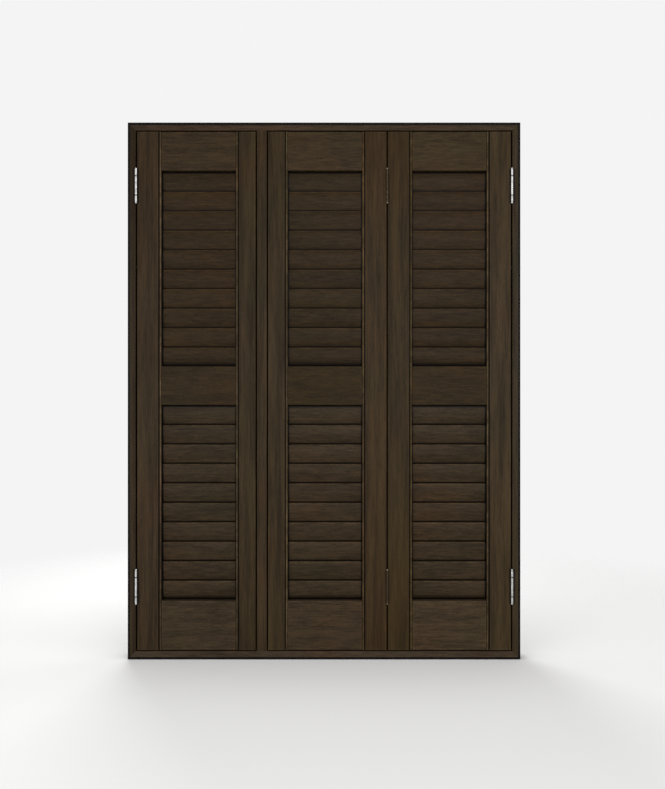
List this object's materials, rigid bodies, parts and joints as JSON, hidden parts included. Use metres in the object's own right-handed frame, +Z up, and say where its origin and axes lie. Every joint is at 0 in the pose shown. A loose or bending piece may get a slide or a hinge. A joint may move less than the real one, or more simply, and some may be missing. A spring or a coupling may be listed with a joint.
{
  "type": "louvered window shutter",
  "caption": "Dark-stained wooden window shutter in a frame: louvered panels on side hinges, one folding on its neighbour, with louvers that tilt together on a rear bar.",
  "frame": {"origin": "middle of the frame's underside, half way through its depth", "axes": "+Z up, +X to the viewer's right, the front faces -Y"},
  "size_m": [0.8224, 0.0523, 1.1245],
  "materials": {
    "frame_wood": "satin",
    "panel_wood": "satin",
    "louver_wood": "satin",
    "hinge_chrome": "polished",
    "hinge_bronze": "satin",
    "bar_metal": "satin"
  },
  "bodies": {
    "frame": {"frame_left": "frame_wood", "frame_right": "frame_wood", "frame_top": "frame_wood", "frame_bottom": "frame_wood", "t_post": "frame_wood", "frame_hinges": "hinge_chrome"},
    "left_panel": {"left_hinge_stile": "panel_wood", "left_closing_stile": "panel_wood", "left_top_rail": "panel_wood", "left_mid_rail": "panel_wood", "left_bottom_rail": "panel_wood", "left_hinge_leaves": "hinge_chrome", "left_lower_louvers": "louver_wood"},
    "left_louver_01": {"left_louver_01": "louver_wood"},
    "left_louver_02": {"left_louver_02": "louver_wood"},
    "left_louver_03": {"left_louver_03": "louver_wood"},
    "left_louver_04": {"left_louver_04": "louver_wood"},
    "left_louver_05": {"left_louver_05": "louver_wood"},
    "left_louver_06": {"left_louver_06": "louver_wood"},
    "left_louver_07": {"left_louver_07": "louver_wood"},
    "left_louver_08": {"left_louver_08": "louver_wood"},
    "left_louver_09": {"left_louver_09": "louver_wood"},
    "left_louver_10": {"left_louver_10": "louver_wood"},
    "left_tilt_bar": {"left_tilt_bar": "bar_metal"},
    "middle_panel": {"middle_closing_stile": "panel_wood", "middle_fold_stile": "panel_wood", "middle_top_rail": "panel_wood", "middle_mid_rail": "panel_wood", "middle_bottom_rail": "panel_wood", "middle_hinge_leaves": "hinge_bronze", "middle_lower_louvers": "louver_wood"},
    "middle_louver_01": {"middle_louver_01": "louver_wood"},
    "middle_louver_02": {"middle_louver_02": "louver_wood"},
    "middle_louver_03": {"middle_louver_03": "louver_wood"},
    "middle_louver_04": {"middle_louver_04": "louver_wood"},
    "middle_louver_05": {"middle_louver_05": "louver_wood"},
    "middle_louver_06": {"middle_louver_06": "louver_wood"},
    "middle_louver_07": {"middle_louver_07": "louver_wood"},
    "middle_louver_08": {"middle_louver_08": "louver_wood"},
    "middle_louver_09": {"middle_louver_09": "louver_wood"},
    "middle_louver_10": {"middle_louver_10": "louver_wood"},
    "middle_tilt_bar": {"middle_tilt_bar": "bar_metal"},
    "right_panel": {"right_fold_stile": "panel_wood", "right_hinge_stile": "panel_wood", "right_top_rail": "panel_wood", "right_mid_rail": "panel_wood", "right_bottom_rail": "panel_wood", "right_hinge_leaves": "hinge_chrome", "right_lower_louvers": "louver_wood"},
    "right_louver_01": {"right_louver_01": "louver_wood"},
    "right_louver_02": {"right_louver_02": "louver_wood"},
    "right_louver_03": {"right_louver_03": "louver_wood"},
    "right_louver_04": {"right_louver_04": "louver_wood"},
    "right_louver_05": {"right_louver_05": "louver_wood"},
    "right_louver_06": {"right_louver_06": "louver_wood"},
    "right_louver_07": {"right_louver_07": "louver_wood"},
    "right_louver_08": {"right_louver_08": "louver_wood"},
    "right_louver_09": {"right_louver_09": "louver_wood"},
    "right_louver_10": {"right_louver_10": "louver_wood"},
    "right_tilt_bar": {"right_tilt_bar": "bar_metal"}
  },
  "joints": [
    {"name": "left_swing", "type": "hinge", "parent": "frame", "child": "left_panel", "pos_m": [-0.39275, -0.0263, 0.56225], "axis": [0, 0, -1], "range_deg": [0, 175]},
    {"name": "right_swing", "type": "hinge", "parent": "frame", "child": "right_panel", "pos_m": [0.39275, -0.0263, 0.56225], "axis": [0, 0, 1], "range_deg": [0, 100]},
    {"name": "middle_fold", "type": "hinge", "parent": "right_panel", "child": "middle_panel", "pos_m": [0.13225, -0.0263, 0.56225], "axis": [0, 0, 1], "range_deg": [0, 160]},
    {"name": "left_tilt", "type": "hinge", "parent": "left_panel", "child": "left_louver_01", "pos_m": [-0.2625, -0.0095, 0.9992], "axis": [1, 0, 0], "range_deg": [0, 115]},
    {"name": "left_tilt_02", "type": "hinge", "parent": "left_panel", "child": "left_louver_02", "pos_m": [-0.2625, -0.0095, 0.9582], "axis": [1, 0, 0], "range_deg": [0, 115]},
    {"name": "left_tilt_03", "type": "hinge", "parent": "left_panel", "child": "left_louver_03", "pos_m": [-0.2625, -0.0095, 0.9172], "axis": [1, 0, 0], "range_deg": [0, 115]},
    {"name": "left_tilt_04", "type": "hinge", "parent": "left_panel", "child": "left_louver_04", "pos_m": [-0.2625, -0.0095, 0.8762], "axis": [1, 0, 0], "range_deg": [0, 115]},
    {"name": "left_tilt_05", "type": "hinge", "parent": "left_panel", "child": "left_louver_05", "pos_m": [-0.2625, -0.0095, 0.8352], "axis": [1, 0, 0], "range_deg": [0, 115]},
    {"name": "left_tilt_06", "type": "hinge", "parent": "left_panel", "child": "left_louver_06", "pos_m": [-0.2625, -0.0095, 0.7942], "axis": [1, 0, 0], "range_deg": [0, 115]},
    {"name": "left_tilt_07", "type": "hinge", "parent": "left_panel", "child": "left_louver_07", "pos_m": [-0.2625, -0.0095, 0.7532], "axis": [1, 0, 0], "range_deg": [0, 115]},
    {"name": "left_tilt_08", "type": "hinge", "parent": "left_panel", "child": "left_louver_08", "pos_m": [-0.2625, -0.0095, 0.7122], "axis": [1, 0, 0], "range_deg": [0, 115]},
    {"name": "left_tilt_09", "type": "hinge", "parent": "left_panel", "child": "left_louver_09", "pos_m": [-0.2625, -0.0095, 0.6712], "axis": [1, 0, 0], "range_deg": [0, 115]},
    {"name": "left_tilt_10", "type": "hinge", "parent": "left_panel", "child": "left_louver_10", "pos_m": [-0.2625, -0.0095, 0.6302], "axis": [1, 0, 0], "range_deg": [0, 115]},
    {"name": "left_bar", "type": "hinge", "parent": "left_louver_01", "child": "left_tilt_bar", "pos_m": [-0.32605, -0.00667, 0.97829], "axis": [1, 0, 0], "range_deg": [-115, 0]},
    {"name": "middle_tilt", "type": "hinge", "parent": "middle_panel", "child": "middle_louver_01", "pos_m": [0.002, -0.0095, 0.9992], "axis": [1, 0, 0], "range_deg": [0, 115]},
    {"name": "middle_tilt_02", "type": "hinge", "parent": "middle_panel", "child": "middle_louver_02", "pos_m": [0.002, -0.0095, 0.9582], "axis": [1, 0, 0], "range_deg": [0, 115]},
    {"name": "middle_tilt_03", "type": "hinge", "parent": "middle_panel", "child": "middle_louver_03", "pos_m": [0.002, -0.0095, 0.9172], "axis": [1, 0, 0], "range_deg": [0, 115]},
    {"name": "middle_tilt_04", "type": "hinge", "parent": "middle_panel", "child": "middle_louver_04", "pos_m": [0.002, -0.0095, 0.8762], "axis": [1, 0, 0], "range_deg": [0, 115]},
    {"name": "middle_tilt_05", "type": "hinge", "parent": "middle_panel", "child": "middle_louver_05", "pos_m": [0.002, -0.0095, 0.8352], "axis": [1, 0, 0], "range_deg": [0, 115]},
    {"name": "middle_tilt_06", "type": "hinge", "parent": "middle_panel", "child": "middle_louver_06", "pos_m": [0.002, -0.0095, 0.7942], "axis": [1, 0, 0], "range_deg": [0, 115]},
    {"name": "middle_tilt_07", "type": "hinge", "parent": "middle_panel", "child": "middle_louver_07", "pos_m": [0.002, -0.0095, 0.7532], "axis": [1, 0, 0], "range_deg": [0, 115]},
    {"name": "middle_tilt_08", "type": "hinge", "parent": "middle_panel", "child": "middle_louver_08", "pos_m": [0.002, -0.0095, 0.7122], "axis": [1, 0, 0], "range_deg": [0, 115]},
    {"name": "middle_tilt_09", "type": "hinge", "parent": "middle_panel", "child": "middle_louver_09", "pos_m": [0.002, -0.0095, 0.6712], "axis": [1, 0, 0], "range_deg": [0, 115]},
    {"name": "middle_tilt_10", "type": "hinge", "parent": "middle_panel", "child": "middle_louver_10", "pos_m": [0.002, -0.0095, 0.6302], "axis": [1, 0, 0], "range_deg": [0, 115]},
    {"name": "middle_bar", "type": "hinge", "parent": "middle_louver_01", "child": "middle_tilt_bar", "pos_m": [0.06555, -0.00667, 0.97829], "axis": [1, 0, 0], "range_deg": [-115, 0]},
    {"name": "right_tilt", "type": "hinge", "parent": "right_panel", "child": "right_louver_01", "pos_m": [0.2625, -0.0095, 0.9992], "axis": [1, 0, 0], "range_deg": [0, 115]},
    {"name": "right_tilt_02", "type": "hinge", "parent": "right_panel", "child": "right_louver_02", "pos_m": [0.2625, -0.0095, 0.9582], "axis": [1, 0, 0], "range_deg": [0, 115]},
    {"name": "right_tilt_03", "type": "hinge", "parent": "right_panel", "child": "right_louver_03", "pos_m": [0.2625, -0.0095, 0.9172], "axis": [1, 0, 0], "range_deg": [0, 115]},
    {"name": "right_tilt_04", "type": "hinge", "parent": "right_panel", "child": "right_louver_04", "pos_m": [0.2625, -0.0095, 0.8762], "axis": [1, 0, 0], "range_deg": [0, 115]},
    {"name": "right_tilt_05", "type": "hinge", "parent": "right_panel", "child": "right_louver_05", "pos_m": [0.2625, -0.0095, 0.8352], "axis": [1, 0, 0], "range_deg": [0, 115]},
    {"name": "right_tilt_06", "type": "hinge", "parent": "right_panel", "child": "right_louver_06", "pos_m": [0.2625, -0.0095, 0.7942], "axis": [1, 0, 0], "range_deg": [0, 115]},
    {"name": "right_tilt_07", "type": "hinge", "parent": "right_panel", "child": "right_louver_07", "pos_m": [0.2625, -0.0095, 0.7532], "axis": [1, 0, 0], "range_deg": [0, 115]},
    {"name": "right_tilt_08", "type": "hinge", "parent": "right_panel", "child": "right_louver_08", "pos_m": [0.2625, -0.0095, 0.7122], "axis": [1, 0, 0], "range_deg": [0, 115]},
    {"name": "right_tilt_09", "type": "hinge", "parent": "right_panel", "child": "right_louver_09", "pos_m": [0.2625, -0.0095, 0.6712], "axis": [1, 0, 0], "range_deg": [0, 115]},
    {"name": "right_tilt_10", "type": "hinge", "parent": "right_panel", "child": "right_louver_10", "pos_m": [0.2625, -0.0095, 0.6302], "axis": [1, 0, 0], "range_deg": [0, 115]},
    {"name": "right_bar", "type": "hinge", "parent": "right_louver_01", "child": "right_tilt_bar", "pos_m": [0.32605, -0.00667, 0.97829], "axis": [1, 0, 0], "range_deg": [-115, 0]}
  ],
  "couplings": [
    {"joint": "left_tilt_02", "follows": "left_tilt", "ratio": 1},
    {"joint": "left_tilt_03", "follows": "left_tilt", "ratio": 1},
    {"joint": "left_tilt_04", "follows": "left_tilt", "ratio": 1},
    {"joint": "left_tilt_05", "follows": "left_tilt", "ratio": 1},
    {"joint": "left_tilt_06", "follows": "left_tilt", "ratio": 1},
    {"joint": "left_tilt_07", "follows": "left_tilt", "ratio": 1},
    {"joint": "left_tilt_08", "follows": "left_tilt", "ratio": 1},
    {"joint": "left_tilt_09", "follows": "left_tilt", "ratio": 1},
    {"joint": "left_tilt_10", "follows": "left_tilt", "ratio": 1},
    {"joint": "left_bar", "follows": "left_tilt", "ratio": -1},
    {"joint": "middle_tilt_02", "follows": "middle_tilt", "ratio": 1},
    {"joint": "middle_tilt_03", "follows": "middle_tilt", "ratio": 1},
    {"joint": "middle_tilt_04", "follows": "middle_tilt", "ratio": 1},
    {"joint": "middle_tilt_05", "follows": "middle_tilt", "ratio": 1},
    {"joint": "middle_tilt_06", "follows": "middle_tilt", "ratio": 1},
    {"joint": "middle_tilt_07", "follows": "middle_tilt", "ratio": 1},
    {"joint": "middle_tilt_08", "follows": "middle_tilt", "ratio": 1},
    {"joint": "middle_tilt_09", "follows": "middle_tilt", "ratio": 1},
    {"joint": "middle_tilt_10", "follows": "middle_tilt", "ratio": 1},
    {"joint": "middle_bar", "follows": "middle_tilt", "ratio": -1},
    {"joint": "right_tilt_02", "follows": "right_tilt", "ratio": 1},
    {"joint": "right_tilt_03", "follows": "right_tilt", "ratio": 1},
    {"joint": "right_tilt_04", "follows": "right_tilt", "ratio": 1},
    {"joint": "right_tilt_05", "follows": "right_tilt", "ratio": 1},
    {"joint": "right_tilt_06", "follows": "right_tilt", "ratio": 1},
    {"joint": "right_tilt_07", "follows": "right_tilt", "ratio": 1},
    {"joint": "right_tilt_08", "follows": "right_tilt", "ratio": 1},
    {"joint": "right_tilt_09", "follows": "right_tilt", "ratio": 1},
    {"joint": "right_tilt_10", "follows": "right_tilt", "ratio": 1},
    {"joint": "right_bar", "follows": "right_tilt", "ratio": -1}
  ]
}
